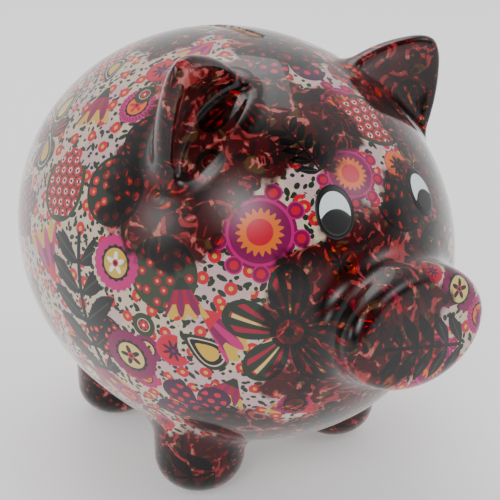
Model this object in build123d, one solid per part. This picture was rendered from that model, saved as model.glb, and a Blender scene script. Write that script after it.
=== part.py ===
"""Piggy bank: a hollow glazed ceramic pig with a coin slot and a twist-lock closure in its belly.

Millimetres. The pig faces -Y, +Z is up, X = 0 is its plane of symmetry, and its feet stand on Z = 0.
"""
from build123d import *
import os
from math import cos, pi, radians, sin, sqrt

# Body: a hollow spheroid, round about the Y axis
BODY_R = 79.0
BODY_HALF_LENGTH = 97.7
BODY_Y = 4.6
BELLY_GAP = 8.5
BODY_Z = BELLY_GAP + BODY_R
WALL = 5.0

# Coin slot, along the pig's back
SLOT_LENGTH = 37.0
SLOT_WIDTH = 4.6
SLOT_Y = BODY_Y - 4.0

# Legs: round stubs with a small flat foot
LEG_R = 17.3
LEG_X = 33.3
LEG_FRONT_Y = -25.5
LEG_REAR_Y = 43.0
LEG_TOP_Z = 42.0
FOOT_ROUND = 13.0

# Snout: an oval disc that looks slightly upwards
SNOUT_HALF_WIDTH = 29.5
SNOUT_HALF_HEIGHT = 19.5
SNOUT_FRONT_Y = -104.1
SNOUT_Z = 85.5
SNOUT_TILT = 11.0
SNOUT_DEPTH = 40.0
SNOUT_ROUND = 5.0

# Ear: sections of the left ear, from its root to its tip. Across the ear, behind its front, half sizes.
EAR_ORIGIN = (38.4, -47.1, 140.4)
EAR_ACROSS = (0.716, -0.129, -0.686)
EAR_FRONT = (-0.217, -0.975, -0.043)
EAR_SECTIONS = [
    # height, across, behind, half width, half thickness
    (-10.0, 0.0, 7.0, 24.0, 14.0),
    (6.0, -0.6, 5.0, 19.5, 11.0),
    (17.0, -2.8, 2.8, 12.0, 7.8),
    (24.5, -4.3, 1.4, 6.0, 5.0),
    (27.5, -4.9, 1.0, 2.4, 2.4),
]
EAR_CUP_R = 12.0
EAR_CUP_HALF_HEIGHT = 21.0
EAR_CUP_AHEAD = 10.5

# Tail: a ring-shaped curl against the rump
TAIL_RING_R = 7.5
TAIL_R = 3.2
TAIL_BALL_R = 3.6
TAIL_LIFT = 1.2
TAIL_Z = BODY_Z + 12.0
TAIL_OPEN_ANGLE = 60.0

# Eyes: thin fired enamel, in three colours that meet edge to edge
EYE_X = 18.2
EYE_RISE = 25.2
ENAMEL = 0.4
EYE_REACH = 6.0
EYE_OUTLINE = (6.4, 8.6, 0.0)
EYE_INNER = (5.3, 7.1, -0.5)
EYE_PUPIL = (5.5, 5.6, -3.0)

# Belly hole and its thickened seat
HOLE_R = 19.0
RECESS_R = 25.0
BOSS_R = 27.0
SEAT_Z = 13.0
BOSS_TOP_Z = 18.0

# Twist lock in the belly hole
GASKET = 0.8
FLANGE = 1.4
FLANGE_R = 23.6
CAN_R = 18.5
CAN_WALL = 1.3
FLANGE_TOP_Z = SEAT_Z - GASKET
FLANGE_BOTTOM_Z = FLANGE_TOP_Z - FLANGE
CAN_TOP_Z = 21.5
BACK = 1.2
PLAY = 0.1

KNOB_HOLE_R = 10.0
KNOB_R = KNOB_HOLE_R - 0.06
KNOB_PROUD = 1.0
KNOB_SHAFT_R = 4.0
KNOB_SHAFT_TOP_Z = CAN_TOP_Z + BACK + 0.8
COIN_GROOVE = (14.0, 2.2, 1.4)

# Lug on the rim of the knob hole, and the notch that lets the knob turn past it between its two stops
LUG_ANGLE = 45.0
LUG_R = 8.4
LUG_WIDTH = 2.0
NOTCH_R = LUG_R - 0.1
NOTCH_HALF_ANGLE = 53.0

CAM_R = 13.5
CAM = 2.0
CAM_BOTTOM_Z = FLANGE_TOP_Z + PLAY

BOLT_TRAVEL = 4.5
BOLT_WIDTH = 10.0
BOLT_INNER_Y = 4.6
BOLT_BOTTOM_Z = BOSS_TOP_Z + 0.5
BOLT_TOP_Z = CAN_TOP_Z - 0.3
PIN_R = 1.2
PIN_START = 6.0
PIN_GAP = 0.3
KNOB_TURN = 90.0

POST_RING_R = 15.9
POST_R = 1.8
SCREW_R = 0.9
SCREW_HEAD_R = 1.6
SCREW_HEAD = 1.0
SCREW_BOTTOM_Z = 16.0
SCREW_SLOT = 0.5
POST_ANGLES = (45, 135, 225, 315)


def spheroid(grow=0.0):
    """The solid body shape, made larger on every side by grow. Its seam runs through the belly hole."""
    radius, half_length = BODY_R + grow, BODY_HALF_LENGTH + grow
    profile = [
        EllipticalCenterArc((0, 0), radius, half_length, -90, arc_size=180).edge(),
        Line((0, half_length), (0, -half_length)).edge(),
    ]
    return Pos(0, BODY_Y, BODY_Z) * Rot(0, 90, 0) * revolve(make_face(profile), Axis.Y, 360)


def disc(radius, bottom, top, x=0.0, y=BODY_Y):
    """An upright cylinder between two heights."""
    return Pos(x, y, (bottom + top) / 2) * Cylinder(radius, top - bottom)


def block(width, length, bottom, top, x=0.0, y=BODY_Y):
    """An upright box between two heights."""
    return Pos(x, y, (bottom + top) / 2) * Box(width, length, top - bottom)


OUTSIDE = spheroid()


def make_body():
    """The slip-cast shell, with its coin slot, belly seat and belly hole."""
    cavity = spheroid(-WALL) - disc(BOSS_R, 0, BOSS_TOP_Z)
    shell = OUTSIDE - cavity
    shell = shell - disc(RECESS_R, 0, SEAT_Z) - disc(HOLE_R, 0, BOSS_TOP_Z + 1)
    slot_bottom = Pos(0, SLOT_Y, BODY_Z + BODY_R - 2 * WALL)
    slot = extrude(slot_bottom * SlotOverall(SLOT_LENGTH, SLOT_WIDTH, 90), 3 * WALL)
    return shell - slot


def make_leg(x, y):
    """A round stub that meets the belly face to face."""
    leg = disc(LEG_R, 0, LEG_TOP_Z, x, y)
    leg = fillet(leg.edges().sort_by(Axis.Z)[0], FOOT_ROUND)
    return leg - OUTSIDE


def make_snout():
    """An oval disc with a rounded rim, luted to the face."""
    facing = (0, -cos(radians(SNOUT_TILT)), sin(radians(SNOUT_TILT)))
    plane = Plane((0, SNOUT_FRONT_Y, SNOUT_Z), (1, 0, 0), facing)
    snout = extrude(plane * Ellipse(SNOUT_HALF_WIDTH, SNOUT_HALF_HEIGHT), -SNOUT_DEPTH)
    snout = fillet(snout.edges().sort_by(Axis.Y)[0], SNOUT_ROUND)
    return snout - OUTSIDE


def make_left_ear():
    """A thick leaf with a cupped front. The right ear mirrors it."""
    plane = Plane(EAR_ORIGIN, EAR_ACROSS, EAR_FRONT)
    outlines = []
    for height, across, behind, half_width, half_thickness in EAR_SECTIONS:
        section = Plane(plane.from_local_coords(Vector(across, height, -behind)), EAR_ACROSS, plane.y_dir)
        outlines.append(section * Ellipse(half_width, half_thickness))
    ear = loft(outlines)
    cup_profile = [
        EllipticalCenterArc((0, 0), EAR_CUP_R, EAR_CUP_HALF_HEIGHT, -90, arc_size=180).edge(),
        Line((0, EAR_CUP_HALF_HEIGHT), (0, -EAR_CUP_HALF_HEIGHT)).edge(),
    ]
    cup = plane * Pos(-1, 0, EAR_CUP_AHEAD) * revolve(make_face(cup_profile), Axis.Y, 360)
    return ear - cup - OUTSIDE


def face_normal(x, y, z):
    """The direction straight out of the body at a point of its surface."""
    return Vector(x / BODY_R**2, (y - BODY_Y) / BODY_HALF_LENGTH**2, (z - BODY_Z) / BODY_R**2).normalized()


def make_tail():
    """An open ring in relief on the rump, with a small ball at each end."""
    rear = BODY_Y + BODY_HALF_LENGTH * sqrt(1 - ((TAIL_Z - BODY_Z) / BODY_R) ** 2)
    normal = face_normal(0, rear, TAIL_Z)
    plane = Plane(Vector(0, rear, TAIL_Z) + normal * TAIL_LIFT, (1, 0, 0), normal)
    tail = plane * Torus(TAIL_RING_R, TAIL_R, major_angle=360 - TAIL_OPEN_ANGLE) - OUTSIDE
    for angle in (0, 360 - TAIL_OPEN_ANGLE):
        tail += plane * Rot(0, 0, angle) * Pos(TAIL_RING_R, 0, 0) * Sphere(TAIL_BALL_R) - OUTSIDE
    return tail


def eye_plane(side):
    """The plane that touches the face at an eye. Its Y axis points up the face."""
    ring = sqrt(1 - (EYE_X / BODY_R) ** 2)
    rise = radians(EYE_RISE)
    across = side * EYE_X
    back = -BODY_HALF_LENGTH * ring * cos(rise)
    up = BODY_R * ring * sin(rise)
    point = (across, BODY_Y + back, BODY_Z + up)
    normal = face_normal(*point)
    return Plane(point, Vector(0, 0, 1).cross(normal), normal)


def make_eye(side):
    """Black outline, white and pupil of one eye, as enamel on the glaze."""
    plane = eye_plane(side)
    enamel = spheroid(ENAMEL) - OUTSIDE

    def prism(half_width, half_height, lift):
        return extrude(plane * Pos(0, lift) * Ellipse(half_width, half_height), EYE_REACH, both=True)

    inner = prism(*EYE_INNER)
    pupil = prism(*EYE_PUPIL)
    outline = (enamel & prism(*EYE_OUTLINE)) - inner
    white = (enamel & inner) - pupil
    return outline, white, enamel & inner & pupil


def post_places():
    """Where the four screw posts stand."""
    return [(POST_RING_R * cos(radians(a)), BODY_Y + POST_RING_R * sin(radians(a))) for a in POST_ANGLES]


def stop_lug():
    """Small tooth that reaches in from the rim of the knob hole."""
    length = KNOB_HOLE_R + 0.4 - LUG_R
    middle = Pos(0, BODY_Y, (FLANGE_BOTTOM_Z + FLANGE_TOP_Z) / 2)
    return middle * Rot(0, 0, LUG_ANGLE) * Pos(LUG_R + length / 2, 0, 0) * Box(length, LUG_WIDTH, FLANGE)


def knob_notch():
    """Part of a ring cut from the knob's edge, in which the lug rides."""
    bottom = FLANGE_BOTTOM_Z - PLAY
    rays = [(20 * cos(radians(a)), 20 * sin(radians(a))) for a in (-NOTCH_HALF_ANGLE, 0, NOTCH_HALF_ANGLE)]
    wedge = Pos(0, BODY_Y, bottom) * extrude(Polygon((0, 0), *rays, align=None), CAM_BOTTOM_Z - bottom)
    return wedge - disc(NOTCH_R, bottom, CAM_BOTTOM_Z)


def make_housing():
    """Pressed flange and can, with a window for each bolt, four screw posts and the knob's stop."""
    housing = disc(FLANGE_R, FLANGE_BOTTOM_Z, FLANGE_TOP_Z)
    housing += disc(CAN_R, FLANGE_TOP_Z, CAN_TOP_Z) - disc(CAN_R - CAN_WALL, FLANGE_TOP_Z, CAN_TOP_Z)
    for x, y in post_places():
        housing += disc(POST_R, FLANGE_TOP_Z, CAN_TOP_Z, x, y) & disc(CAN_R, FLANGE_TOP_Z, CAN_TOP_Z)
        housing -= disc(SCREW_R, SCREW_BOTTOM_Z, CAN_TOP_Z, x, y)
    housing -= disc(KNOB_HOLE_R, FLANGE_BOTTOM_Z, FLANGE_TOP_Z)
    housing += stop_lug()
    housing -= block(BOLT_WIDTH + 0.3, 3 * CAN_R, BOLT_BOTTOM_Z - 0.15, BOLT_TOP_Z + 0.15)
    return housing


def make_back_plate():
    """Cover of the can, which also carries the inner end of the knob's shaft."""
    plate = disc(CAN_R, CAN_TOP_Z, CAN_TOP_Z + BACK) - disc(KNOB_SHAFT_R + 0.06, CAN_TOP_Z, CAN_TOP_Z + BACK)
    for x, y in post_places():
        plate -= disc(SCREW_R, CAN_TOP_Z, CAN_TOP_Z + BACK, x, y)
    return plate


def make_screws():
    """Four slotted screws that hold the back plate on its posts."""
    screws = []
    top = CAN_TOP_Z + BACK
    for x, y in post_places():
        head = fillet(disc(SCREW_HEAD_R, top, top + SCREW_HEAD, x, y).edges().sort_by(Axis.Z)[-1], 0.4)
        screw = head + disc(SCREW_R, SCREW_BOTTOM_Z, top, x, y)
        screws.append(screw - block(4 * SCREW_HEAD_R, SCREW_SLOT, top + SCREW_HEAD / 2, top + 2, x, y))
    return Compound(screws)


def make_gasket():
    """Flat rubber ring between the flange and the ceramic seat."""
    return disc(FLANGE_R, FLANGE_TOP_Z, SEAT_Z) - disc(CAN_R, FLANGE_TOP_Z, SEAT_Z)


def make_knob():
    """Round head with a groove for a coin and a notch for the stop lug, and the shaft that turns the cam."""
    bottom = FLANGE_BOTTOM_Z - KNOB_PROUD
    head = disc(KNOB_R, bottom, CAM_BOTTOM_Z)
    head = fillet(head.edges().sort_by(Axis.Z)[0], 0.6)
    length, width, depth = COIN_GROOVE
    head -= block(length, width, bottom - 1, bottom + depth)
    head -= knob_notch()
    return head + disc(KNOB_SHAFT_R, CAM_BOTTOM_Z, KNOB_SHAFT_TOP_Z)


def spiral(turned, side_step=0.0):
    """Where the cam meets a bolt's pin after part of the knob's turn."""
    radius = PIN_START + BOLT_TRAVEL * turned / KNOB_TURN + side_step
    angle = radians(-90 - turned)
    return (radius * cos(angle), radius * sin(angle))


def cam_slot():
    """Spiral slot that moves a pin outwards evenly as the cam turns."""
    half_width = PIN_R + PIN_GAP
    steps = [KNOB_TURN * step / 8 for step in range(9)]
    inner = Spline(*[spiral(turned, -half_width) for turned in steps])
    outer = Spline(*[spiral(turned, half_width) for turned in steps])
    start = Line(inner @ 0, outer @ 0)
    end = Line(inner @ 1, outer @ 1)
    slot = make_face([inner.edge(), outer.edge(), start.edge(), end.edge()])
    for turned in (0, KNOB_TURN):
        slot += Pos(*spiral(turned)) * Circle(half_width)
    return extrude(Pos(0, BODY_Y, CAM_BOTTOM_Z) * slot, CAM)


def make_cam():
    """Disc with a spiral slot for each bolt, fixed on the knob's shaft."""
    cam = disc(CAM_R, CAM_BOTTOM_Z, CAM_BOTTOM_Z + CAM) - disc(KNOB_SHAFT_R, CAM_BOTTOM_Z, CAM_BOTTOM_Z + CAM)
    slot = cam_slot()
    opposite = Pos(0, BODY_Y, 0) * Rot(0, 0, 180) * Pos(0, -BODY_Y, 0) * slot
    return cam - slot - opposite


def make_bolt(side):
    """Flat bolt that slides out through its window, with a pin down into the cam."""
    length = CAN_R - BOLT_INNER_Y
    centre_y = BODY_Y + side * (BOLT_INNER_Y + length / 2)
    bolt = block(BOLT_WIDTH, length, BOLT_BOTTOM_Z, BOLT_TOP_Z, 0, centre_y)
    bolt &= disc(CAN_R - 0.3, BOLT_BOTTOM_Z, BOLT_TOP_Z)
    return bolt + disc(PIN_R, CAM_BOTTOM_Z + 0.3, BOLT_BOTTOM_Z, 0, BODY_Y + side * PIN_START)


def make_parts():
    parts = {"body": make_body(), "snout": make_snout(), "tail": make_tail()}
    parts["ear_left"] = make_left_ear()
    parts["ear_right"] = mirror(parts["ear_left"], Plane.YZ)
    for place, y in (("front", LEG_FRONT_Y), ("rear", LEG_REAR_Y)):
        parts["leg_" + place + "_left"] = make_leg(LEG_X, y)
        parts["leg_" + place + "_right"] = make_leg(-LEG_X, y)
    for name, side in (("left", 1), ("right", -1)):
        outline, white, pupil = make_eye(side)
        parts["eye_outline_" + name] = outline
        parts["eye_white_" + name] = white
        parts["eye_pupil_" + name] = pupil
    parts["lock_housing"] = make_housing()
    parts["lock_gasket"] = make_gasket()
    parts["lock_back_plate"] = make_back_plate()
    parts["lock_screws"] = make_screws()
    parts["lock_knob"] = make_knob()
    parts["lock_cam"] = make_cam()
    parts["lock_bolt_front"] = make_bolt(-1)
    parts["lock_bolt_rear"] = make_bolt(1)
    return parts


os.makedirs("parts", exist_ok=True)
for node, shape in make_parts().items():
    export_step(shape, os.path.join("parts", node + ".step"))
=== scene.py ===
"""Looks of the ceramic piggy bank: a smooth glazed skin in nine pieces, its print, its eyes and its lock."""
import math

import bmesh
import bpy
import numpy as np
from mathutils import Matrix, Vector


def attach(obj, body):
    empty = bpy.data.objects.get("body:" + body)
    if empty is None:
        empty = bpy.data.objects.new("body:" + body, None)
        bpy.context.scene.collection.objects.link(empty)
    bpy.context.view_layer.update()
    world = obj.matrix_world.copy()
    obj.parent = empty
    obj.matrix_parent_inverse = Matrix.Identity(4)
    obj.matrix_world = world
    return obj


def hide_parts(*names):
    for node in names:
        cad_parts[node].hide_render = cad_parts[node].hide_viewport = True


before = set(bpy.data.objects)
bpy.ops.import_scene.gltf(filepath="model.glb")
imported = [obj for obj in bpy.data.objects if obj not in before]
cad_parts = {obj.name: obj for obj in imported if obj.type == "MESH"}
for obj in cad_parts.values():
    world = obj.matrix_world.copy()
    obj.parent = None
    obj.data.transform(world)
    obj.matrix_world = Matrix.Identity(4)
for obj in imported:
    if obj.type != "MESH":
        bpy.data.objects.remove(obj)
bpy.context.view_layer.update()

MM = 0.001

# ---------------------------------------------------------------- sizes of the pig, in millimetres
BODY_CENTRE = np.array([0.0, 4.6, 87.5])
BODY_HALF = np.array([78.2, 97.7, 79.2])
WALL = 5.0

SNOUT_CENTRE = np.array([0.0, -104.1, 85.5])
SNOUT_TILT = math.radians(11)
SNOUT_OUT = np.array([0, -math.cos(SNOUT_TILT), math.sin(SNOUT_TILT)])
SNOUT_UP = np.array([0, math.sin(SNOUT_TILT), math.cos(SNOUT_TILT)])
SNOUT_HALF = (29.5, 19.8)
SNOUT_ROUND = 6.0

EAR_ORIGIN = np.array([38.4, -47.1, 140.4])
EAR_ACROSS = np.array([0.716, -0.129, -0.686])
EAR_FRONT = np.array([-0.217, -0.975, -0.043])
EAR_UP = np.cross(EAR_FRONT, EAR_ACROSS)
EAR_HEIGHT = 28.5

LEG_R = 17.3
LEG_X = 33.3
LEG_Y = {"front": -25.5, "rear": 43.0}
LEG_ROUND = 13.0

EYE_X = 18.2
EYE_RISE = math.radians(25.2)
EYE_OUTLINE = (6.3, 8.6, 0.0)
EYE_INNER = (5.35, 7.2, -0.4)
EYE_PUPIL = (5.7, 5.7, -4.5)
PUPIL_MIDDLE = -3.4
ENAMEL_SUNK_EDGE = 0.06

SLOT_HALF = (2.3, 18.5)
SLOT_Y = 0.6

HOLE_R, RECESS_R, BOSS_R = 19.0, 25.0, 27.0
SEAT_Z, BOSS_TOP_Z = 13.0, 18.0

CELL = 1.25
GRID_LOW = np.array([-84.0, -114.0, -4.0])
GRID_HIGH = np.array([84.0, 114.0, 172.0])
FAR = 60.0

CAMERA_AZIMUTH = math.radians(-35.4)
CAMERA_ELEVATION = math.radians(20.2)
CAMERA_TARGET = (0, -11.9, 83.3)
CAMERA_DISTANCE = 328.8
LENS = 60.9
FLOOR_HALF = 3000.0


# ---------------------------------------------------------------- signed distance fields
def smooth_min(a, b, k):
    """The smaller field, with the corner between the two blended over a width k."""
    h = np.clip(0.5 + 0.5 * (b - a) / k, 0, 1)
    return b + (a - b) * h - k * h * (1 - h)


def smooth_max(a, b, k):
    return -smooth_min(-a, -b, k)


def ellipsoid(P, centre, half):
    q = (P - centre) / half
    k0 = np.linalg.norm(q, axis=-1)
    k1 = np.linalg.norm(q / half, axis=-1)
    return k0 * (k0 - 1) / np.maximum(k1, 1e-6)


def ellipse_2d(u, v, a, b):
    k0 = np.hypot(u / a, v / b)
    k1 = np.hypot(u / a**2, v / b**2)
    return k0 * (k0 - 1) / np.maximum(k1, 1e-6)


def rounded_prism(flat, along, rounding):
    """Joins a flat outline's distance with the distance past an end face, with a rounded edge."""
    a, b = flat + rounding, along + rounding
    return np.minimum(np.maximum(a, b), 0) + np.hypot(np.maximum(a, 0), np.maximum(b, 0)) - rounding


def within(P, low, high, field):
    """Evaluates a field only inside a box of points. Elsewhere it is far outside the shape."""
    out = np.full(P.shape[0], FAR)
    inside = np.all((P > low) & (P < high), axis=-1)
    if inside.any():
        out[inside] = field(P[inside])
    return out


def snout_frame(P):
    """Distances across and up the snout, and out of its face."""
    d = P - SNOUT_CENTRE
    return d[:, 0], d @ SNOUT_UP, d @ SNOUT_OUT


def snout(P):
    across, up, out = snout_frame(P)
    narrowing = np.clip(-out / 24.0, 0, 1)
    a, b = SNOUT_HALF
    flat = ellipse_2d(across, up, a - 2.5 * narrowing, b - 2.5 * narrowing)
    dome = 1.6 * (1 - (across / a) ** 2 - (up / b) ** 2)
    return np.maximum(rounded_prism(flat, out - dome, SNOUT_ROUND), -out - 45)


def ear(P):
    """The left ear, a thick pointed leaf with a cup in its front."""
    d = P - EAR_ORIGIN
    u, v, n = d @ EAR_ACROSS, d @ EAR_UP, d @ EAR_FRONT
    rise = np.clip((v + 12) / (EAR_HEIGHT + 12), 0, 1.2)
    taper = np.clip(1 - rise**1.9, 0.001, 1)
    half_width, half_thick = 24.5 * taper**0.85, 13.5 * taper**0.8
    lean = -4.9 * np.clip(v / EAR_HEIGHT, 0, 1)
    behind = 7.0 - 6.0 * np.clip(v / EAR_HEIGHT, 0, 1)
    leaf = ellipse_2d(u - lean, n + behind, half_width, half_thick)
    leaf = smooth_max(leaf, v - EAR_HEIGHT + 0.5, 5.0)
    cup = ellipse_2d(u - lean, n + behind - 6.5, 0.9 * half_width, 0.62 * half_thick)
    cup = smooth_max(cup, -14 - v, 4.0)
    return smooth_max(leaf, -cup, 4.0)


def legs(P):
    out = np.full(P.shape[0], FAR)
    for y in LEG_Y.values():
        flat = np.hypot(np.abs(P[:, 0]) - LEG_X, P[:, 1] - y) - LEG_R
        out = np.minimum(out, rounded_prism(flat, np.abs(P[:, 2] - 25) - 25, LEG_ROUND))
    return out


def tail_line():
    """Points along the curled tail, with the radius at each."""
    t = np.linspace(0, 1, 40)
    angle = math.radians(-60) + t * math.radians(430)
    radius = 8.2 - 3.4 * t
    rear = BODY_CENTRE[1] + BODY_HALF[1] * 0.985
    height = BODY_CENTRE[2] + 14 + radius * np.sin(angle)
    points = np.stack([radius * np.cos(angle), rear + 1.5 + 4.0 * t, height], -1)
    return points, 3.6 - 1.3 * t


def tail(P):
    out = np.full(P.shape[0], FAR)
    for point, radius in zip(*tail_line()):
        out = np.minimum(out, np.linalg.norm(P - point, axis=-1) - radius)
    return out


def outside(P):
    """All the ceramic, as if it were solid."""
    mirrored = P.copy()
    mirrored[:, 0] = np.abs(mirrored[:, 0])
    d = ellipsoid(P, BODY_CENTRE, BODY_HALF)
    d = smooth_min(d, within(mirrored, (0, -100, 90), (100, 20, 190), ear), 5.0)
    d = smooth_min(d, within(P, (-50, -130, 40), (50, -50, 130), snout), 9.0)
    d = smooth_min(d, within(P, (-70, -60, -10), (70, 80, 60), legs), 6.0)
    return smooth_min(d, within(P, (-20, 85, 75), (20, 125, 125), tail), 2.0)


def hollow(P):
    """The cavity, the coin slot, the recess for the lock and the belly hole."""
    from_axis = np.hypot(P[:, 0], P[:, 1] - BODY_CENTRE[1])
    cavity = ellipsoid(P, BODY_CENTRE, BODY_HALF - WALL)
    cavity = smooth_max(cavity, -rounded_prism(from_axis - BOSS_R, P[:, 2] - BOSS_TOP_Z, 1.0), 1.0)
    straight = np.maximum(np.abs(P[:, 1] - SLOT_Y) - (SLOT_HALF[1] - SLOT_HALF[0]), 0)
    slot = np.maximum(np.hypot(P[:, 0], straight) - SLOT_HALF[0], 140 - P[:, 2])
    recess = rounded_prism(from_axis - RECESS_R, P[:, 2] - SEAT_Z, 0.3)
    hole = np.maximum(from_axis - HOLE_R, P[:, 2] - BOSS_TOP_Z - 2)
    return np.minimum(np.minimum(cavity, slot), np.minimum(recess, hole))


def ceramic(P):
    return smooth_max(outside(P), -hollow(P), 0.9)


def gradient(P, field, step=0.08):
    out = np.empty_like(P)
    for axis in range(3):
        shift = np.zeros(3)
        shift[axis] = step
        out[:, axis] = (field(P + shift) - field(P - shift)) / (2 * step)
    return out


# ---------------------------------------------------------------- mesh of the ceramic
def surface_net(field, low, cell):
    """Quads around the zero level of a field sampled on a grid."""
    inside = field < 0
    corners = [np.array([i, j, k]) for i in (0, 1) for j in (0, 1) for k in (0, 1)]
    shape = np.array(field.shape) - 1

    def corner_view(values, c):
        return values[c[0]:c[0] + shape[0], c[1]:c[1] + shape[1], c[2]:c[2] + shape[2]]

    count = sum(corner_view(inside, c).astype(np.int8) for c in corners)
    active = (count > 0) & (count < 8)
    place = np.argwhere(active)
    number = np.full(active.shape, -1)
    number[active] = np.arange(len(place))
    total = np.zeros((len(place), 3))
    hits = np.zeros(len(place))
    for a in corners:
        for b in corners:
            if (b - a).sum() != 1 or (b - a).min() < 0:
                continue
            fa, fb = corner_view(field, a)[active], corner_view(field, b)[active]
            cross = (fa < 0) != (fb < 0)
            t = np.where(cross, fa / np.where(cross, fa - fb, 1), 0)
            total += np.where(cross[:, None], a + (b - a) * t[:, None], 0)
            hits += cross
    points = low + cell * (place + total / hits[:, None])
    quads = []
    for axis in range(3):
        first = [slice(None)] * 3
        second = [slice(None)] * 3
        first[axis], second[axis] = slice(None, -1), slice(1, None)
        edge = np.argwhere(inside[tuple(first)] != inside[tuple(second)])
        one, two = (axis + 1) % 3, (axis + 2) % 3
        keep = (edge[:, one] > 0) & (edge[:, two] > 0)
        edge = edge[keep]
        ring = []
        for s, t in ((1, 1), (0, 1), (0, 0), (1, 0)):
            cell_at = edge.copy()
            cell_at[:, one] -= s
            cell_at[:, two] -= t
            ring.append(number[tuple(cell_at.T)])
        ring = np.stack(ring, -1)
        leaving = inside[tuple(edge.T)]
        ring[~leaving] = ring[~leaving][:, ::-1]
        quads.append(ring)
    return points, np.concatenate(quads)


def settle(points, field, rounds):
    """Moves points onto the zero level of a field."""
    for _ in range(rounds):
        g = gradient(points, field)
        points = points - g * (field(points) / np.maximum((g * g).sum(-1), 0.2))[:, None]
    return points


def relax(points, quads, field, rounds):
    """Evens out the mesh by sliding points along the surface."""
    edges = np.concatenate([quads[:, [a, (a + 1) % 4]] for a in range(4)])
    degree = np.bincount(edges.ravel(), minlength=len(points))
    for _ in range(rounds):
        total = np.zeros_like(points)
        for a, b in ((0, 1), (1, 0)):
            for axis in range(3):
                total[:, axis] += np.bincount(edges[:, a], points[edges[:, b], axis], len(points))
        move = total / degree[:, None] - points
        g = gradient(points, field)
        g /= np.linalg.norm(g, axis=-1)[:, None]
        move -= g * (move * g).sum(-1)[:, None]
        points = settle(points + 0.5 * move, field, 1)
    return points


def ceramic_mesh():
    counts = np.ceil((GRID_HIGH - GRID_LOW) / CELL).astype(int) + 1
    axes = [GRID_LOW[i] + CELL * np.arange(counts[i]) for i in range(3)]
    layers = []
    for x in axes[0]:
        grid = np.stack(np.meshgrid([x], axes[1], axes[2], indexing="ij"), -1).reshape(-1, 3)
        layers.append(ceramic(grid).reshape(counts[1], counts[2]))
    points, quads = surface_net(np.stack(layers), GRID_LOW, CELL)
    points = settle(points, ceramic, 3)
    points = relax(points, quads, ceramic, 4)
    return settle(points, ceramic, 2), quads


# ---------------------------------------------------------------- shader nodes
class Term:
    """A number inside a node tree. Plain arithmetic on it adds Math nodes."""

    def __init__(self, tree, socket):
        self.tree, self.socket = tree, socket

    def plug(self, value, target):
        if isinstance(value, Term):
            self.tree.links.new(value.socket, target)
        else:
            target.default_value = value

    def calc(self, kind, *others):
        node = self.tree.nodes.new("ShaderNodeMath")
        node.operation = kind
        for value, target in zip((self, *others), node.inputs):
            self.plug(value, target)
        return Term(self.tree, node.outputs[0])

    def swapped(self, kind, first):
        node = self.tree.nodes.new("ShaderNodeMath")
        node.operation = kind
        node.inputs[0].default_value = first
        self.tree.links.new(self.socket, node.inputs[1])
        return Term(self.tree, node.outputs[0])

    def __add__(self, other):
        return self.calc("ADD", other)

    def __sub__(self, other):
        return self.calc("SUBTRACT", other)

    def __rsub__(self, other):
        return self.swapped("SUBTRACT", other)

    def __mul__(self, other):
        return self.calc("MULTIPLY", other)

    def __truediv__(self, other):
        return self.calc("DIVIDE", other)

    def __lt__(self, other):
        return self.calc("LESS_THAN", other)

    def __gt__(self, other):
        return self.calc("GREATER_THAN", other)

    def __pow__(self, other):
        return self.calc("POWER", other)

    def __abs__(self):
        return self.calc("ABSOLUTE")

    __radd__ = __add__
    __rmul__ = __mul__

    def sin(self):
        return self.calc("SINE")

    def cos(self):
        return self.calc("COSINE")

    def fract(self):
        return self.calc("FRACT")

    def floor(self):
        return self.calc("FLOOR")

    def root(self):
        return self.calc("SQRT")

    def least(self, other):
        return self.calc("MINIMUM", other)

    def most(self, other):
        return self.calc("MAXIMUM", other)

    def clamped(self):
        return self.most(0.0).least(1.0)


def join(x, y, z=0.0):
    """A vector from three numbers."""
    node = x.tree.nodes.new("ShaderNodeCombineXYZ")
    for value, target in zip((x, y, z), node.inputs):
        x.plug(value, target)
    return node.outputs[0]


def split(tree, vector):
    node = tree.nodes.new("ShaderNodeSeparateXYZ")
    tree.links.new(vector, node.inputs[0])
    return [Term(tree, s) for s in node.outputs]


def paint(under, over, mask):
    """Lays one colour over another where the mask is 1. A colour is a tuple or a socket."""
    tree = mask.tree
    node = tree.nodes.new("ShaderNodeMix")
    node.data_type = "RGBA"
    tree.links.new(mask.socket, node.inputs["Factor"])
    for value, target in ((under, node.inputs[6]), (over, node.inputs[7])):
        if isinstance(value, tuple):
            target.default_value = (*value, 1)
        else:
            tree.links.new(value, target)
    return node.outputs[2]


def choose(seed, colours):
    """One of a few colours, by a number from 0 to 1."""
    node = seed.tree.nodes.new("ShaderNodeValToRGB")
    node.color_ramp.interpolation = "CONSTANT"
    stops = node.color_ramp.elements
    while len(stops) < len(colours):
        stops.new(0.5)
    for place, (stop, colour) in enumerate(zip(stops, colours)):
        stop.position = place / len(colours)
        stop.color = (*colour, 1)
    seed.tree.links.new(seed.socket, node.inputs[0])
    return node.outputs[0]


def multiply(tree, one, two):
    node = tree.nodes.new("ShaderNodeMix")
    node.data_type = "RGBA"
    node.blend_type = "MULTIPLY"
    node.inputs["Factor"].default_value = 1.0
    tree.links.new(one, node.inputs[6])
    tree.links.new(two, node.inputs[7])
    return node.outputs[2]


def vector_math(tree, kind, a, b=None, scale=None):
    node = tree.nodes.new("ShaderNodeVectorMath")
    node.operation = kind
    for value, target in ((a, node.inputs[0]), (b, node.inputs[1])):
        if isinstance(value, tuple):
            target.default_value = value
        elif value is not None:
            tree.links.new(value, target)
    if isinstance(scale, float):
        node.inputs["Scale"].default_value = scale
    elif scale is not None:
        tree.links.new(scale, node.inputs["Scale"])
    return node.outputs["Value"] if kind in ("DOT_PRODUCT", "LENGTH") else node.outputs["Vector"]


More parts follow.
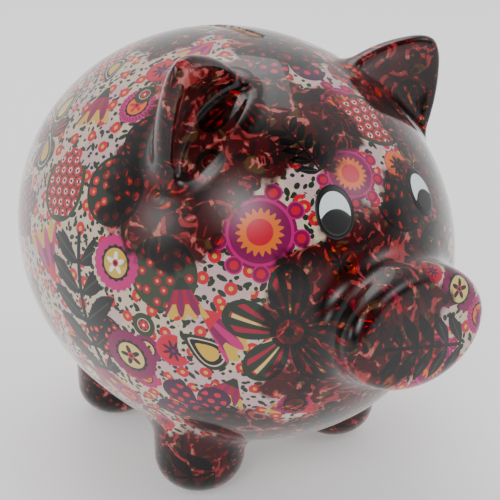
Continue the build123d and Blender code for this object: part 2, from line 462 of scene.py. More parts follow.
def noise(tree, place, scale, detail=2.0, distortion=0.0):
    node = tree.nodes.new("ShaderNodeTexNoise")
    node.inputs["Scale"].default_value = scale
    node.inputs["Detail"].default_value = detail
    node.inputs["Distortion"].default_value = distortion
    tree.links.new(place, node.inputs["Vector"])
    return Term(tree, node.outputs[0])


def stored(tree, name):
    """The node that reads a value stored on the mesh."""
    node = tree.nodes.new("ShaderNodeAttribute")
    node.attribute_name = name
    return node


def coordinates(tree):
    """The place on the object in mm, and the direction of its surface."""
    coords = tree.nodes.new("ShaderNodeTexCoord")
    return vector_math(tree, "SCALE", coords.outputs["Object"], scale=1 / MM), coords.outputs["Normal"]


def plain(name, colour, roughness=0.3, metallic=0.0):
    material = bpy.data.materials.new(name)
    material.use_nodes = True
    shader = material.node_tree.nodes["Principled BSDF"]
    shader.inputs["Base Color"].default_value = (*colour, 1)
    shader.inputs["Roughness"].default_value = roughness
    shader.inputs["Metallic"].default_value = metallic
    return material


# ---------------------------------------------------------------- colours of the print, linear light
CREAM = (0.62, 0.49, 0.37)
ROSE_CREAM = (0.58, 0.40, 0.40)
WHITE = (0.86, 0.80, 0.74)
LEAF = (0.018, 0.032, 0.019)
MOSS = (0.036, 0.050, 0.027)
CHARCOAL = (0.010, 0.010, 0.013)
RED = (0.56, 0.004, 0.030)
CRIMSON = (0.34, 0.005, 0.036)
PINK = (0.50, 0.008, 0.16)
PLUM = (0.20, 0.006, 0.075)
GOLD = (0.62, 0.38, 0.045)
STRAW = (0.70, 0.52, 0.16)
ORANGE = (0.72, 0.15, 0.018)
AUBERGINE = (0.045, 0.010, 0.040)
CLAY = (0.62, 0.44, 0.29)
SPECKLE = (0.42, 0.27, 0.20)
# ground of the motifs under the dark swirls, on the sheets' overlaps and on the painted shade of the feet
# and belly
OVERLAP_AND_SHADE_GROUND = (0.50, 0.26, 0.24)
SWIRL_DARK, SWIRL_RED = (0.030, 0.014, 0.018), (0.10, 0.012, 0.018)
SWIRL_ROSE, SWIRL_OLIVE, SWIRL_PALE = (0.60, 0.10, 0.12), (0.16, 0.15, 0.05), (0.95, 0.45, 0.42)


# ---------------------------------------------------------------- motifs, each drawn in a unit disc
class Disc:
    """What every motif starts from: its place in the disc, the polar form and a number of its own."""

    def __init__(self, u, v, seed):
        self.u, self.v, self.seed = u, v, seed
        self.r = (u * u + v * v).root()
        self.angle = v.calc("ARCTAN2", u)

    def wave(self, count):
        """Goes from -1 to 1, count times round the disc."""
        return (self.angle * count).cos()


def floret_field(d, spacing, size):
    """Small flowers in staggered rows. Gives the distance from the nearest one's centre, over its size."""
    row_gap = spacing * 1.73

    def from_grid(shift):
        x = ((d.u / spacing + shift).fract() - 0.5) * spacing
        y = ((d.v / row_gap + shift).fract() - 0.5) * row_gap
        return (x * x + y * y).root()

    return from_grid(0.0).least(from_grid(0.5)) / size


def rosette(d):
    edge = abs(d.wave(11)) * 0.06 + 0.9
    inner = d.wave(14) * 0.025 + 0.60
    colour = choose(d.seed, [PINK, PLUM, CRIMSON, PINK])
    spokes = (d.wave(30) > 0.2) * (d.r > 0.68) * (d.r < 0.86)
    colour = paint(colour, PLUM, spokes * (d.seed > 0.25))
    colour = paint(colour, CHARCOAL, d.r < inner)
    colour = paint(colour, choose(d.seed, [GOLD, STRAW, GOLD, ORANGE]), d.r < 0.5)
    petals = (d.wave(5) * 0.13 + 0.27 > d.r) * (d.r > 0.12)
    colour = paint(colour, choose(d.seed, [WHITE, CHARCOAL, WHITE, RED]), petals)
    colour = paint(colour, RED, d.r < 0.13)
    return paint(colour, CHARCOAL, d.r < 0.07), d.r < edge


def aster(d):
    colour = paint(choose(d.seed, [PINK, CRIMSON, PINK]), choose(d.seed, [RED, RED, ORANGE]), d.r < 0.86)
    star = d.wave(8) * 0.19 + 0.42
    colour = paint(colour, AUBERGINE, d.r < star)
    return paint(colour, PLUM, d.r < 0.10), d.r < 0.93


def pomegranate(d):
    width = (1 - d.v * d.v).most(0).root() * (0.82 - d.v * 0.10)
    tip = (abs(d.u) < (1.0 - d.v) * 0.9) + (d.v < 0.4)
    mask = (abs(d.u) < width) * (tip > 0.5)
    inside = abs(d.u) < width - 0.13
    near = floret_field(d, 0.30, 0.135)
    flower = (near < 1.0) * inside * (abs(d.v) < 0.84)
    colour = paint(choose(d.seed, [MOSS, LEAF]), choose(d.seed, [RED, CRIMSON]), flower)
    colour = paint(colour, WHITE, flower * (near < 0.55) * (d.wave(41) > -0.4))
    return paint(colour, CHARCOAL, flower * (near < 0.30)), mask


def berries(d):
    node = d.r.tree.nodes.new("ShaderNodeTexVoronoi")
    node.voronoi_dimensions = "2D"
    node.inputs["Scale"].default_value = 2.9
    node.inputs["Randomness"].default_value = 0.55
    d.r.tree.links.new(join(d.u + d.seed * 7.0, d.v), node.inputs["Vector"])
    near = Term(d.r.tree, node.outputs["Distance"])
    fruit = (near < 0.33) * (d.r < 0.84)
    colour = paint(choose(d.seed, [LEAF, CHARCOAL, MOSS]), choose(d.seed, [RED, RED, CRIMSON]), fruit)
    colour = paint(colour, ORANGE, fruit * (near < 0.15))
    return paint(colour, STRAW, fruit * (near < 0.06)), d.r < 0.94


def striped_flower(d):
    lobe = abs((d.angle * 2.5).cos())
    edge = lobe ** 0.45 * 0.96
    stripes = (d.angle * 2.5).sin() * 11.0 + d.r * 2.2
    colour = paint(LEAF, CRIMSON, (stripes.sin() > 0.25) * (d.r < edge - 0.10))
    thin = ((stripes * 0.5 + 0.7).sin() > 0.86) * (d.r < edge * 0.86)
    colour = paint(colour, choose(d.seed, [STRAW, RED]), thin)
    colour = paint(colour, CHARCOAL, d.r < 0.27)
    colour = paint(colour, RED, d.r < 0.19)
    colour = paint(colour, STRAW, (d.r < 0.13) * (d.wave(9) > 0))
    return paint(colour, CHARCOAL, d.r < 0.07), d.r < edge


def sprig(d):
    reach = abs(d.u)
    step = d.v * 2.6 - reach * 1.7
    across = abs(step.fract() - 0.5)
    along = (reach / 0.62).least(1.0)
    leaf = (along * math.pi).sin() * 0.42
    in_leaf = (across < leaf) * (reach < 0.62) * (step > -2.9) * (step < 1.9)
    stem = (reach < 0.035) * (abs(d.v) < 0.97)
    midrib = (across < 0.035) * (along < 0.8) * (along > 0.1)
    colour = paint(choose(d.seed, [CHARCOAL, CHARCOAL, LEAF]), MOSS, midrib)
    return colour, (in_leaf + stem).least(1.0)


def tulip(d):
    height = d.v + 0.9
    spread = abs(d.u) / (height * 0.55 + 0.06)
    top = (d.u * 14.0).sin() * 0.10 + 1.55
    mask = (spread < 1.0) * (height > 0.05) * (height < top)
    stripe = (d.u / (height + 0.25) * 16.0).sin()
    colour = paint(choose(d.seed, [PLUM, CRIMSON]), choose(d.seed, [PINK, PLUM]), stripe > 0.1)
    colour = paint(colour, GOLD, (height > 1.05) * (stripe * 0.30 + 1.25 < height))
    return paint(colour, choose(d.seed, [RED, LEAF]), height < 0.5), mask


def teardrop(d):
    def drop(scale):
        height = (d.v + 0.15) / scale - 0.15
        width = (1 - height * height).most(0).root() * (0.60 - height * 0.34)
        return abs(d.u) / scale < width

    colour = paint(choose(d.seed, [LEAF, MOSS]), choose(d.seed, [CREAM, STRAW, PINK]), drop(0.80))
    colour = paint(colour, CHARCOAL, drop(0.72))
    return paint(colour, choose(d.seed, [GOLD, STRAW, GOLD]), drop(0.50)), drop(1.0)


def sunburst(d):
    ring_x = ((d.angle * (9 / (2 * math.pi))).fract() - 0.5) * (2 * math.pi / 9) * 0.8
    to_berry = (ring_x * ring_x + (d.r - 0.80) * (d.r - 0.80)).root()
    mask = (d.r < 0.72) + (to_berry < 0.18)
    colour = paint(PLUM, PINK, (d.r < 0.66) * (d.r > 0.60) + (to_berry < 0.18) * (to_berry > 0.15))
    colour = paint(colour, RED, to_berry < 0.09)
    colour = paint(colour, ORANGE, d.r < d.wave(19) * 0.05 + 0.42)
    return paint(colour, RED, d.r < 0.26), mask.least(1.0)


def spotted_flower(d):
    lobe = abs((d.angle * 2.5).cos())
    edge = lobe ** 0.30 * 0.95
    near = floret_field(d, 0.25, 0.07)
    spots = (near < 1.0) * (d.r < edge - 0.12) * (d.r > 0.25)
    colour = paint(choose(d.seed, [AUBERGINE, CHARCOAL]), RED, spots)
    colour = paint(colour, PINK, d.r < 0.14)
    return paint(colour, RED, d.r < 0.09), d.r < edge


def medallion(d):
    colour = paint(choose(d.seed, [MOSS, LEAF]), CREAM, (d.r < 0.52) * (d.r > 0.46))
    star = d.wave(6) * 0.10 + 0.34
    colour = paint(colour, choose(d.seed, [RED, PINK, GOLD]), d.r < star)
    return paint(colour, choose(d.seed, [WHITE, AUBERGINE]), d.r < 0.10), d.r < 0.92


MOTIFS = [rosette, aster, pomegranate, berries, striped_flower, sprig, tulip, teardrop, sunburst,
          spotted_flower, medallion]


def motif_layer_group():
    """Node group that draws whichever motif a layer has at a point."""
    tree = bpy.data.node_groups.new("printed_motifs", "ShaderNodeTree")
    tree.interface.new_socket("Motif", in_out="INPUT", socket_type="NodeSocketVector")
    tree.interface.new_socket("Color", in_out="OUTPUT", socket_type="NodeSocketColor")
    tree.interface.new_socket("Mask", in_out="OUTPUT", socket_type="NodeSocketFloat")
    source = tree.nodes.new("NodeGroupInput")
    result = tree.nodes.new("NodeGroupOutput")
    u, v, code = split(tree, source.outputs[0])
    kind = code.floor()
    disc = Disc(u, v, code.fract())
    colour, mask = CREAM, None
    for number, draw in enumerate(MOTIFS, 1):
        motif_colour, motif_mask = draw(disc)
        chosen = (abs(kind - float(number)) < 0.5) * motif_mask
        colour = paint(colour, motif_colour, chosen)
        mask = chosen if mask is None else mask + chosen
    tree.links.new(colour, result.inputs[0])
    tree.links.new(mask.socket, result.inputs[1])
    return tree


# leaflets: the side of the cell each lies in, half length and half width in mm, and a shift of the cells
LEAFLETS = [(3.6, 1.6, 0.62, 0.0), (5.2, 2.1, 0.85, 31.0)]
FLORET_CELL, FLORET_R, FLORET_HEART_R, FLORET_SHIFT = 9.0, 2.1, 0.75, 67.0


def scatter(tree, place, normal, cell, shift):
    """From a point on the glaze to the nearest of many scattered points, and a random colour for it."""
    node = tree.nodes.new("ShaderNodeTexVoronoi")
    node.inputs["Scale"].default_value = 1 / cell
    node.inputs["Randomness"].default_value = 0.85
    tree.links.new(vector_math(tree, "ADD", place, (shift, shift, shift)), node.inputs["Vector"])
    centre = vector_math(tree, "SUBTRACT", node.outputs["Position"], (shift, shift, shift))
    away = vector_math(tree, "SUBTRACT", place, centre)
    lift = vector_math(tree, "DOT_PRODUCT", away, normal)
    rise = vector_math(tree, "SCALE", normal, scale=lift)
    return vector_math(tree, "SUBTRACT", away, rise), node.outputs["Color"]


def ground_print(tree, place, normal):
    """Cream ground with speckles, scattered small leaves and small red flowers."""
    colour = paint(CREAM, ROSE_CREAM, noise(tree, place, 0.05) > 0.52)
    colour = paint(colour, SPECKLE, (noise(tree, place, 1.7) > 0.64) * 0.6)
    for cell, length, width, shift in LEAFLETS:
        flat, random = scatter(tree, place, normal, cell, shift)
        lean = vector_math(tree, "NORMALIZE", vector_math(tree, "SUBTRACT", random, (0.5, 0.5, 0.5)))
        along = abs(Term(tree, vector_math(tree, "DOT_PRODUCT", flat, lean)))
        total = Term(tree, vector_math(tree, "LENGTH", flat))
        across = (total * total - along * along).most(0).root()
        profile = (1 - (along / length) ** 2) * width
        colour = paint(colour, LEAF, across < profile)
    flat, _ = scatter(tree, place, normal, FLORET_CELL, FLORET_SHIFT)
    distance = Term(tree, vector_math(tree, "LENGTH", flat))
    colour = paint(colour, RED, distance < FLORET_R)
    return paint(colour, GOLD, distance < FLORET_HEART_R)


def second_sheet_and_shade(tree, place):
    """The sheet that lies over the first where two overlap, seen as dark swirls of its colours. The same
    dark swirls are painted shade on the feet and belly.
    """
    swirl = noise(tree, place, 0.075, 3.0, 1.6)
    streak = noise(tree, place, 0.13, 2.0, 2.4)
    other = noise(tree, vector_math(tree, "ADD", place, (40, 40, 40)), 0.10, 2.0, 2.0)
    colour = paint(SWIRL_DARK, SWIRL_RED, ((swirl - 0.44) * 14.0).clamped())
    colour = paint(colour, SWIRL_ROSE, ((streak - 0.55) * 16.0).clamped())
    colour = paint(colour, SWIRL_OLIVE, ((other - 0.60) * 16.0).clamped())
    return paint(colour, SWIRL_PALE, ((other * streak - 0.35) * 40.0).clamped())


def overlap_and_shade_area(tree, place):
    """1 where two sheets of print overlap, and on the feet and belly, where it lays painted shade."""
    # the stored depth holds the print's overlaps and the painted shade on the feet and belly
    overlap = Term(tree, stored(tree, "sheet_overlap_and_shade").outputs["Fac"])
    edge = overlap + (noise(tree, place, 0.09, 3.0) - 0.5) * 26.0
    return (edge / 3.0 + 0.5).clamped()


def bare_clay(tree):
    """1 where the clay has no glaze: the walls of the slot and the seat of the lock."""
    depth = Term(tree, stored(tree, "clay_depth").outputs["Fac"])
    return ((depth - 0.5) * 2.5).clamped()


def wavy_surface(tree, place, shader):
    """A faint swell in the glaze."""
    bump = tree.nodes.new("ShaderNodeBump")
    bump.inputs["Strength"].default_value = 0.05
    bump.inputs["Distance"].default_value = 0.0004
    tree.links.new(noise(tree, place, 0.12).socket, bump.inputs["Height"])
    tree.links.new(bump.outputs[0], shader.inputs["Normal"])
    tree.links.new(bump.outputs[0], shader.inputs["Coat Normal"])


def glaze_material():
    """The printed glaze: two layers of motifs over the ground, doubled where the sheets overlap, and
    darkened alike on the feet and belly as painted shade.
    """
    material = plain("patterned_glaze", CREAM, 0.32)
    tree = material.node_tree
    shader = tree.nodes["Principled BSDF"]
    place, normal = coordinates(tree)
    ground = ground_print(tree, place, normal)
    group = motif_layer_group()
    layers = []
    for name in ("print_over", "print_under"):
        layer = tree.nodes.new("ShaderNodeGroup")
        layer.node_tree = group
        tree.links.new(stored(tree, name).outputs["Vector"], layer.inputs[0])
        layers.append((layer.outputs[0], Term(tree, layer.outputs[1])))
    (over, over_mask), (under, under_mask) = layers
    single = paint(paint(ground, under, under_mask), over, over_mask)
    motifs = paint(paint(OVERLAP_AND_SHADE_GROUND, under, under_mask), over, over_mask)
    # the dark swirls multiply over the print where the sheets overlap, and as painted shade on the feet and
    # belly
    printed = paint(single, multiply(tree, motifs, second_sheet_and_shade(tree, place)), overlap_and_shade_area(tree, place))
    tree.links.new(paint(printed, CLAY, bare_clay(tree)), shader.inputs["Base Color"])
    shader.inputs["Specular IOR Level"].default_value = 0.1
    shader.inputs["Coat IOR"].default_value = 1.38
    shader.inputs["Coat Weight"].default_value = 1.0
    shader.inputs["Coat Roughness"].default_value = 0.04
    wavy_surface(tree, place, shader)
    return material


# ---------------------------------------------------------------- where the motifs lie
KIND = {draw.__name__: number for number, draw in enumerate(MOTIFS, 1)}
SLIM = {"sprig": 0.66, "teardrop": 0.78, "tulip": 0.95}


def on_body(around, along):
    """A point of the round body: degrees from its top to the right flank, and degrees from the snout."""
    a, b = math.radians(around), math.radians(along)
    direction = np.array([-math.sin(a) * math.sin(b), -math.cos(b), math.cos(a) * math.sin(b)])
    return BODY_CENTRE + BODY_HALF * direction


# kind, degrees around, degrees along, half height in mm, turn in degrees, tone from 0 to 1
PLACED_OVER = [
    ("sprig", 94, 74, 26, -14, 0.1), ("pomegranate", 65, 85, 14, -12, 0.2), ("rosette", 79, 65, 9.6, 0, 0.1),
    ("tulip", 84, 49, 8.5, 172, 0.7), ("rosette", 105, 63, 10.5, 10, 0.35),
    ("medallion", 94, 58, 4.6, 0, 0.2), ("aster", 101, 52, 6.6, 0, 0.1), ("teardrop", 100, 45, 8.4, 40, 0.1),
    ("striped_flower", 93, 27, 22, 8, 0.3), ("spotted_flower", 126, 53, 17, 30, 0.3),
    ("spotted_flower", 2, 66, 17, 0, 0.2), ("teardrop", 60, 99, 8.5, 10, 0.2),
    ("teardrop", 47, 101, 9, -35, 0.5), ("pomegranate", -9, 45, 13, 62, 0.2), ("sprig", 22, 43, 10, 20, 0.1),
    ("aster", -15, 33, 6, 0, 0.9), ("berries", 46, 66, 11, 0, 0.4)]
PLACED_UNDER = [
    ("berries", 62, 70, 12.5, 0, 0.2), ("tulip", 84, 87, 12.5, 12, 0.3), ("berries", 78, 54, 12.5, 40, 0.7),
    ("sunburst", 55, 38, 15.5, 0, 0.2), ("tulip", 45, 87, 10, 170, 0.8), ("berries", -12, 25, 11, 0, 0.6),
    ("striped_flower", 25, 60, 16, 0, 0.7), ("sunburst", 12, 33, 12, 0, 0.5)]
# kind, mm across the snout, mm up it, half height in mm, turn in degrees, tone
PLACED_ON_SNOUT = [
    ("rosette", 15, 9, 8.5, 0, 0.35), ("sprig", -2, -5, 17, 78, 0.1), ("aster", -19, 6, 5.5, 0, 0.1)]
# kind, how many, least and greatest half height in mm
FILL_OVER = [
    ("striped_flower", 9, 15, 21), ("spotted_flower", 10, 12, 17), ("sprig", 14, 13, 22),
    ("pomegranate", 14, 10, 14), ("rosette", 40, 5, 10), ("aster", 34, 4, 7), ("teardrop", 34, 6, 9),
    ("medallion", 40, 3.4, 5.2)]
FILL_UNDER = [
    ("striped_flower", 10, 13, 18), ("sunburst", 12, 11, 15), ("berries", 24, 9, 13), ("tulip", 30, 8, 12),
    ("rosette", 28, 5, 8), ("aster", 26, 4, 7), ("teardrop", 26, 6, 9)]


def on_snout(across, up):
    """A point of the snout's face, from its middle."""
    return SNOUT_CENTRE + np.array([across, 0, 0]) + up * SNOUT_UP


def motif(kind, centre, size, turn, tone):
    """A motif lying flat on the glaze, with the two directions of its disc."""
    centre = settle(centre[None], outside, 4)[0]
    normal = gradient(centre[None], outside)[0]
    normal /= np.linalg.norm(normal)
    up = np.array([0, 0.35, 0.94])
    up -= normal * (up @ normal)
    up /= np.linalg.norm(up)
    right = np.cross(up, normal)
    c, s = math.cos(turn), math.sin(turn)
    return {"code": KIND[kind] + tone, "centre": centre, "size": size, "slim": SLIM.get(kind, 1.0),
            "normal": normal, "right": c * right + s * up, "up": c * up - s * right}


def surface_points(random):
    """Places spread evenly over the whole pig."""
    points = random.uniform((-85, -112, 0), (85, 112, 170), (60000, 3))
    points = points[np.abs(outside(points)) < 3]
    return settle(points, outside, 4)


def placed_motifs(on_ball, on_face):
    """Motifs put where they show best: some on the round body, some on the face of the snout."""
    spots = [(kind, on_body(a, b), *rest) for kind, a, b, *rest in on_ball]
    spots += [(kind, on_snout(a, b), *rest) for kind, a, b, *rest in on_face]
    return [motif(kind, place, size, math.radians(turn), tone) for kind, place, size, turn, tone in spots]


def scattered_motifs(fill, taken, seed):
    """Motifs spread over what room is left."""
    random = np.random.default_rng(seed)
    spots = surface_points(random)
    found = []
    for kind, count, low, high in fill:
        for spot in spots[random.permutation(len(spots))[:count * 14]]:
            size = random.uniform(low, high)
            turn, tone = random.uniform(0, 2 * math.pi), random.uniform(0.02, 0.98)
            clear = all(np.linalg.norm(m["centre"] - spot) > m["size"] + size + 0.8 for m in taken + found)
            if clear and count > 0:
                found.append(motif(kind, spot, size, turn, tone))
                count -= 1
    return found


def print_layers():
    over = placed_motifs(PLACED_OVER, PLACED_ON_SNOUT)
    under = placed_motifs(PLACED_UNDER, [])
    return {"print_over": over + scattered_motifs(FILL_OVER, over + under, 11),
            "print_under": under + scattered_motifs(FILL_UNDER, under, 23)}


# the sheets of print overlap in these round areas; the five at 8 mm up, round the four feet and under the
# belly, are painted shade under the body: place and radius in mm
OVERLAPS_AND_SHADE = [
    ((38, -47, 146), 29), ((-38, -47, 146), 29), ((-54, -46, 124), 24), ((-32, -52, 150), 24),
    ((-12, -62, 143), 16), ((-22, -80, 66), 17), ((-34, -54, 42), 18), ((0, -24, 164), 18),
    ((-24, 4, 163), 12), ((-12, -84, 90), 30), ((4, -84, 62), 22), ((4, -84, 113), 15),
    # the patches at 8 mm up round the feet, and the one under the belly, are painted shade under the body
    ((24, -78, 116), 21), ((30, -66, 128), 15), ((0, -66, 40), 30), ((33, -26, 8), 31), ((-33, -26, 8), 31),
    ((33, 43, 8), 31), ((-33, 43, 8), 31), ((0, 104, 100), 24), ((60, 40, 130), 22), ((-50, 80, 90), 16),
    ((66, -30, 70), 18), ((0, 10, 8), 40)]


def overlap_and_shade_at(P):
    """How deep each point lies inside an overlap of the print, and inside the patches of painted shade on
    the feet and belly. Below zero it is outside them all.
    """
    depths = [radius - np.linalg.norm(P - np.array(place), axis=-1) for place, radius in OVERLAPS_AND_SHADE]
    return np.max(depths, axis=0)


def lay_print(mesh, layers):
    """Stores, for every corner of the mesh, its place in the motif that covers the face."""
    corners = np.empty(len(mesh.loops), dtype=int)
    mesh.loops.foreach_get("vertex_index", corners)
    points = np.empty(len(mesh.vertices) * 3)
    mesh.vertices.foreach_get("co", points)
    points = points.reshape(-1, 3) / MM
    normals = gradient(points, ceramic)
    first = np.empty(len(mesh.polygons), dtype=int)
    count = np.empty(len(mesh.polygons), dtype=int)
    mesh.polygons.foreach_get("loop_start", first)
    mesh.polygons.foreach_get("loop_total", count)
    face_of = np.repeat(np.arange(len(first)), count)
    for name, motifs in layers.items():
        values = np.tile([0.0, 0.0, -1.0], (len(corners), 1))
        for m in motifs:
            away = points - m["centre"]
            reach = np.linalg.norm(away, axis=-1)
            touched = (reach < m["size"] + 0.3) & (normals @ m["normal"] > 0.1)
            touched &= np.abs(away @ m["right"]) < m["size"] * m["slim"] + 0.3
            hit_faces = np.zeros(len(first), dtype=bool)
            hit_faces[face_of[touched[corners]]] = True
            pick = hit_faces[face_of]
            part = away[corners[pick]] / m["size"]
            values[pick] = np.stack([part @ m["right"], part @ m["up"], np.full(len(part), m["code"])], -1)
        layer = mesh.attributes.new(name, "FLOAT_VECTOR", "CORNER")
        layer.data.foreach_set("vector", values.ravel())
    # the stored depth covers the overlaps of the print and the painted shade on the feet and belly
    for name, values in (("sheet_overlap_and_shade", overlap_and_shade_at(points)), ("clay_depth", -outside(points))):
        layer = mesh.attributes.new(name, "FLOAT", "POINT")
        layer.data.foreach_set("value", values)


# ---------------------------------------------------------------- pieces of the skin
def cut_planes():
    """Where each luted part meets the body: node, a point, the direction out to the part, and its reach."""
    flip = np.array([-1, 1, 1.0])
    rear = tail_line()[0][:, 1].min()
    planes = [("snout", SNOUT_CENTRE - 17 * SNOUT_OUT, SNOUT_OUT, 45)]
    for side, way in (("left", 1), ("right", flip)):
        planes.append(("ear_" + side, (EAR_ORIGIN - 3 * EAR_UP) * way, EAR_UP * way, 48))
        for place, y in LEG_Y.items():
            x = LEG_X if side == "left" else -LEG_X
            planes.append(("leg_%s_%s" % (place, side), np.array([x, y, 19.0]), np.array([0, 0, -1.0]), 24))
    planes.append(("tail", np.array([0, rear, BODY_CENTRE[2] + 14]), np.array([0, 1.0, 0]), 14))
    return planes


def mesh_from(points, faces, name):
    mesh = bpy.data.meshes.new(name)
    mesh.from_pydata((points * MM).tolist(), [], faces)
    mesh.update()
    return mesh


def split_skin(points, quads):
    """Cuts the skin with straight cuts, and gives each part its own mesh."""
    bm = bmesh.new()
    bm.from_mesh(mesh_from(points, quads.tolist(), "skin"))
    label = bm.faces.layers.int.new("part")
    planes = cut_planes()
    for number, (_, place, out, reach) in enumerate(planes, 1):
        centre = Vector(place * MM)
        near = [f for f in bm.faces if (f.calc_center_median() - centre).length < reach * MM]
        geometry = list({e for f in near for e in f.edges} | {v for f in near for v in f.verts}) + near
        cut = bmesh.ops.bisect_plane(bm, geom=geometry, plane_co=centre, plane_no=Vector(out), dist=1e-6)
        for f in [g for g in cut["geom"] if isinstance(g, bmesh.types.BMFace)]:
            middle = f.calc_center_median() - centre
            if middle.dot(Vector(out)) > 0 and middle.length < reach * MM and f[label] == 0:
                f[label] = number
    centres = np.array([f.calc_center_median() for f in bm.faces]) / MM
    deep = ellipsoid(centres, BODY_CENTRE, BODY_HALF) < -0.5 * WALL
    lock_seat = np.hypot(centres[:, 0], centres[:, 1] - BODY_CENTRE[1]) < RECESS_R - 0.2
    inner = deep & ~(lock_seat & (centres[:, 2] < SEAT_Z + 0.5))
    for f, is_inner in zip(bm.faces, inner):
        if is_inner:
            f[label] = len(planes) + 1
    names = ["body"] + [p[0] for p in planes] + ["inside"]
    pieces = {}
    for number, name in enumerate(names):
        part = bm.copy()
        other = [f for f in part.faces if f[part.faces.layers.int["part"]] != number]
        bmesh.ops.delete(part, geom=other, context="FACES")
        mesh = bpy.data.meshes.new(name)
        part.to_mesh(mesh)
        part.free()
        pieces[name] = mesh
    bm.free()
    return pieces


def smooth_normals(mesh):
    """Takes the shading from the true surface, so the cuts between pieces don't show."""
    count = len(mesh.vertices)
    points = np.empty(count * 3)
    mesh.vertices.foreach_get("co", points)
    normals = gradient(points.reshape(-1, 3) / MM, ceramic)
    normals /= np.maximum(np.linalg.norm(normals, axis=-1), 1e-9)[:, None]
    mesh.polygons.foreach_set("use_smooth", [True] * len(mesh.polygons))
    mesh.normals_split_custom_set_from_vertices(normals.tolist())


def add_object(name, mesh):
    piece = bpy.data.objects.new(name, mesh)
    bpy.context.scene.collection.objects.link(piece)
    return piece


def make_skin(glaze, bisque):
    layers = print_layers()
    for name, mesh in split_skin(*ceramic_mesh()).items():
        smooth_normals(mesh)
        if name != "inside":
            lay_print(mesh, layers)
        mesh.materials.append(bisque if name == "inside" else glaze)
        piece = add_object("bank_inside" if name == "inside" else name + "_skin", mesh)
        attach(piece, "pig")
        if name != "inside":
            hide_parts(name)


# ---------------------------------------------------------------- eyes
def eye_frame(side):
    """The middle of an eye, and the directions across and up its plane."""
    across = side * EYE_X / BODY_HALF[0]
    ring = math.sqrt(1 - across**2)
    direction = np.array([across, -ring * math.cos(EYE_RISE), ring * math.sin(EYE_RISE)])
    centre = BODY_CENTRE + BODY_HALF * direction
    normal = gradient(centre[None], outside)[0]
    right = np.cross([0, 0, 1.0], normal)
    right /= np.linalg.norm(right)
    return centre, right, np.cross(normal, right)


def edge_distance(middle, angle, ellipse):
    """How far an ellipse's edge is from a point on its upright axis, at some angles."""
    half_width, half_height, height = ellipse
    a = (np.cos(angle) / half_width) ** 2 + (np.sin(angle) / half_height) ** 2
    b = 2 * np.sin(angle) * (middle - height) / half_height**2
    c = ((middle - height) / half_height) ** 2 - 1
    return (-b + np.sqrt(b * b - 4 * a * c)) / (2 * a)


def enamel_patch(name, side, ellipses, middle, lift):
    """A thin patch of enamel on the face, bounded by one ellipse or by where two overlap."""
    centre, right, up = eye_frame(side)
    angle = np.linspace(0, 2 * math.pi, 120, endpoint=False)
    reach = np.min([edge_distance(middle, angle, e) for e in ellipses], axis=0)
    rings = np.sin(np.linspace(0, 1, 16)[1:] * math.pi / 2)
    flat = [np.array([[0, middle, 0]])]
    for t in rings:
        x, y = t * reach * np.cos(angle), t * reach * np.sin(angle)
        flat.append(np.stack([x, middle + y, np.full_like(angle, t)], -1))
    flat = np.concatenate(flat)
    points = settle(centre + flat[:, :1] * right + flat[:, 1:2] * up, outside, 5)
    normals = gradient(points, outside)
    fall = flat[:, 2:] ** 10
    points += normals * (lift * np.sqrt(1 - fall) - ENAMEL_SUNK_EDGE * fall)
    count = len(angle)
    faces = [(0, 1 + i, 1 + (i + 1) % count) for i in range(count)]
    for ring in range(len(rings) - 1):
        first = 1 + ring * count
        for i in range(count):
            j = (i + 1) % count
            faces.append((first + i, first + count + i, first + count + j, first + j))
    mesh = mesh_from(points, faces, name)
    mesh.polygons.foreach_set("use_smooth", [True] * len(mesh.polygons))
    return mesh


# slot: colour and roughness
ENAMELS = {"black_enamel": ((0.006, 0.006, 0.007), 0.3), "white_enamel": ((0.80, 0.86, 0.90), 0.3),
           "charcoal_enamel": ((0.017, 0.017, 0.018), 0.35)}
# coat: its ellipses, the height of its middle, how proud it stands, and its slot
EYE_COATS = {"outline": ([EYE_OUTLINE], 0, 0.22, "black_enamel"),
             "white": ([EYE_INNER], 0, 0.32, "white_enamel"),
             "pupil": ([EYE_INNER, EYE_PUPIL], PUPIL_MIDDLE, 0.42, "charcoal_enamel")}


def make_eyes():
    materials = {slot: plain(slot, *finish) for slot, finish in ENAMELS.items()}
    for coat, (ellipses, middle, lift, slot) in EYE_COATS.items():
        for word, side in (("left", 1), ("right", -1)):
            name = "eye_%s_%s" % (coat, word)
            mesh = enamel_patch(name, side, ellipses, middle, lift)
            mesh.materials.append(materials[slot])
            patch = add_object(name + "_enamel", mesh)
            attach(patch, "pig")
            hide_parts(name)


# ---------------------------------------------------------------- belly lock
def worn(name, colour, roughness, metallic, grain):
    """A metal or rubber whose tone and gloss vary a little."""
    material = plain(name, colour, roughness, metallic)
    tree = material.node_tree
    place, _ = coordinates(tree)
    spots = noise(tree, place, grain, 4.0)
    shader = tree.nodes["Principled BSDF"]
    tree.links.new((spots * 0.22 + roughness - 0.11).socket, shader.inputs["Roughness"])
    dull = tuple(0.72 * c for c in colour)
    mottled = paint(colour, dull, ((spots - 0.5) * 4.0).clamped())
    tree.links.new(mottled, shader.inputs["Base Color"])
    return material


def finish_lock():
    nickel = worn("nickel_plate", (0.66, 0.63, 0.58), 0.24, 1.0, 0.35)
    zinc = worn("zinc_steel", (0.55, 0.57, 0.60), 0.42, 1.0, 0.6)
    brass = worn("brass_parts", (0.72, 0.50, 0.20), 0.34, 1.0, 0.5)
    rubber = worn("black_rubber", (0.020, 0.020, 0.021), 0.75, 0.0, 0.8)
    finishes = {"lock_housing": nickel, "lock_knob": nickel, "lock_gasket": rubber, "lock_back_plate": zinc,
                "lock_screws": zinc, "lock_cam": brass, "lock_bolt_front": brass, "lock_bolt_rear": brass}
    for node, material in finishes.items():
        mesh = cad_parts[node].data
        mesh.materials.clear()
        mesh.materials.append(material)


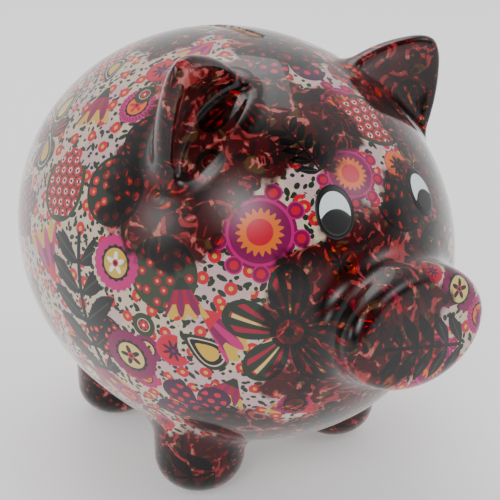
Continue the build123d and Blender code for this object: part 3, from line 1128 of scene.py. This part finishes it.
# ---------------------------------------------------------------- camera, light and floor
def make_camera():
    level = math.cos(CAMERA_ELEVATION)
    back = Vector((math.sin(CAMERA_AZIMUTH) * level, -math.cos(CAMERA_AZIMUTH) * level,
                   math.sin(CAMERA_ELEVATION)))
    data = bpy.data.cameras.new("camera")
    data.lens = LENS
    data.sensor_width = 36
    data.clip_start = 0.01
    camera = bpy.data.objects.new("camera", data)
    camera.location = (Vector(CAMERA_TARGET) + back * CAMERA_DISTANCE) * MM
    camera.rotation_euler = (-back).to_track_quat("-Z", "Y").to_euler()
    bpy.context.scene.collection.objects.link(camera)
    bpy.context.scene.camera = camera


def add_light(name, place, size, power):
    data = bpy.data.lights.new(name, "AREA")
    data.shape = "RECTANGLE"
    data.size, data.size_y = size
    data.energy = power
    light = bpy.data.objects.new(name, data)
    light.location = place
    light.rotation_euler = (Vector((0, 0, 0.08)) - Vector(place)).to_track_quat("-Z", "Y").to_euler()
    bpy.context.scene.collection.objects.link(light)


# soft round lights: direction they lie in, how narrow they are, and their strength
SOFTBOXES = [
    ((-0.60, -0.46, 0.65), 50, 9.0), ((0.42, -0.62, 0.66), 40, 4.5), ((-0.93, 0.05, 0.36), 70, 5.0),
    ((0.05, 0.35, 0.93), 24, 3.0)]


def make_studio():
    """White all round, above and behind, and dark where the camera stands, which deepens the glaze."""
    world = bpy.data.worlds.new("studio")
    bpy.context.scene.world = world
    world.use_nodes = True
    tree = world.node_tree
    coords = tree.nodes.new("ShaderNodeTexCoord")
    direction = coords.outputs["Generated"]

    def toward(*way):
        return Term(tree, vector_math(tree, "DOT_PRODUCT", direction, way)).most(0.0)

    dark = (toward(-0.5, -0.8, 0.1) + 0.06) / 0.36
    dark = dark.least(1.0) * (toward(0, 0, 1) / 0.3).least(1.0)
    strength = (1.0 - dark) * 1.15 + 0.01
    for way, sharpness, power in SOFTBOXES:
        strength = strength + toward(*way) ** sharpness * power
    tree.nodes["Background"].inputs["Color"].default_value = (1, 1, 1, 1)
    tree.links.new(strength.socket, tree.nodes["Background"].inputs["Strength"])
    add_light("overhead", (0.4, 0.9, 2.4), (1.6, 1.6), 12)


def make_floor():
    corners = FLOOR_HALF * np.array([(-1, -1, 0), (1, -1, 0), (1, 1, 0), (-1, 1, 0)])
    mesh = mesh_from(corners, [(0, 1, 2, 3)], "floor")
    floor = add_object("floor", mesh)
    material = plain("pale_floor", (0.9, 0.9, 0.9), 0.7)
    shader = material.node_tree.nodes["Principled BSDF"]
    shader.inputs["Emission Color"].default_value = (1, 1, 1, 1)
    shader.inputs["Emission Strength"].default_value = 0.3
    mesh.materials.append(material)


make_camera()
make_studio()
make_floor()
make_skin(glaze_material(), worn("bisque", CLAY, 0.8, 0.0, 0.3))
make_eyes()
finish_lock()
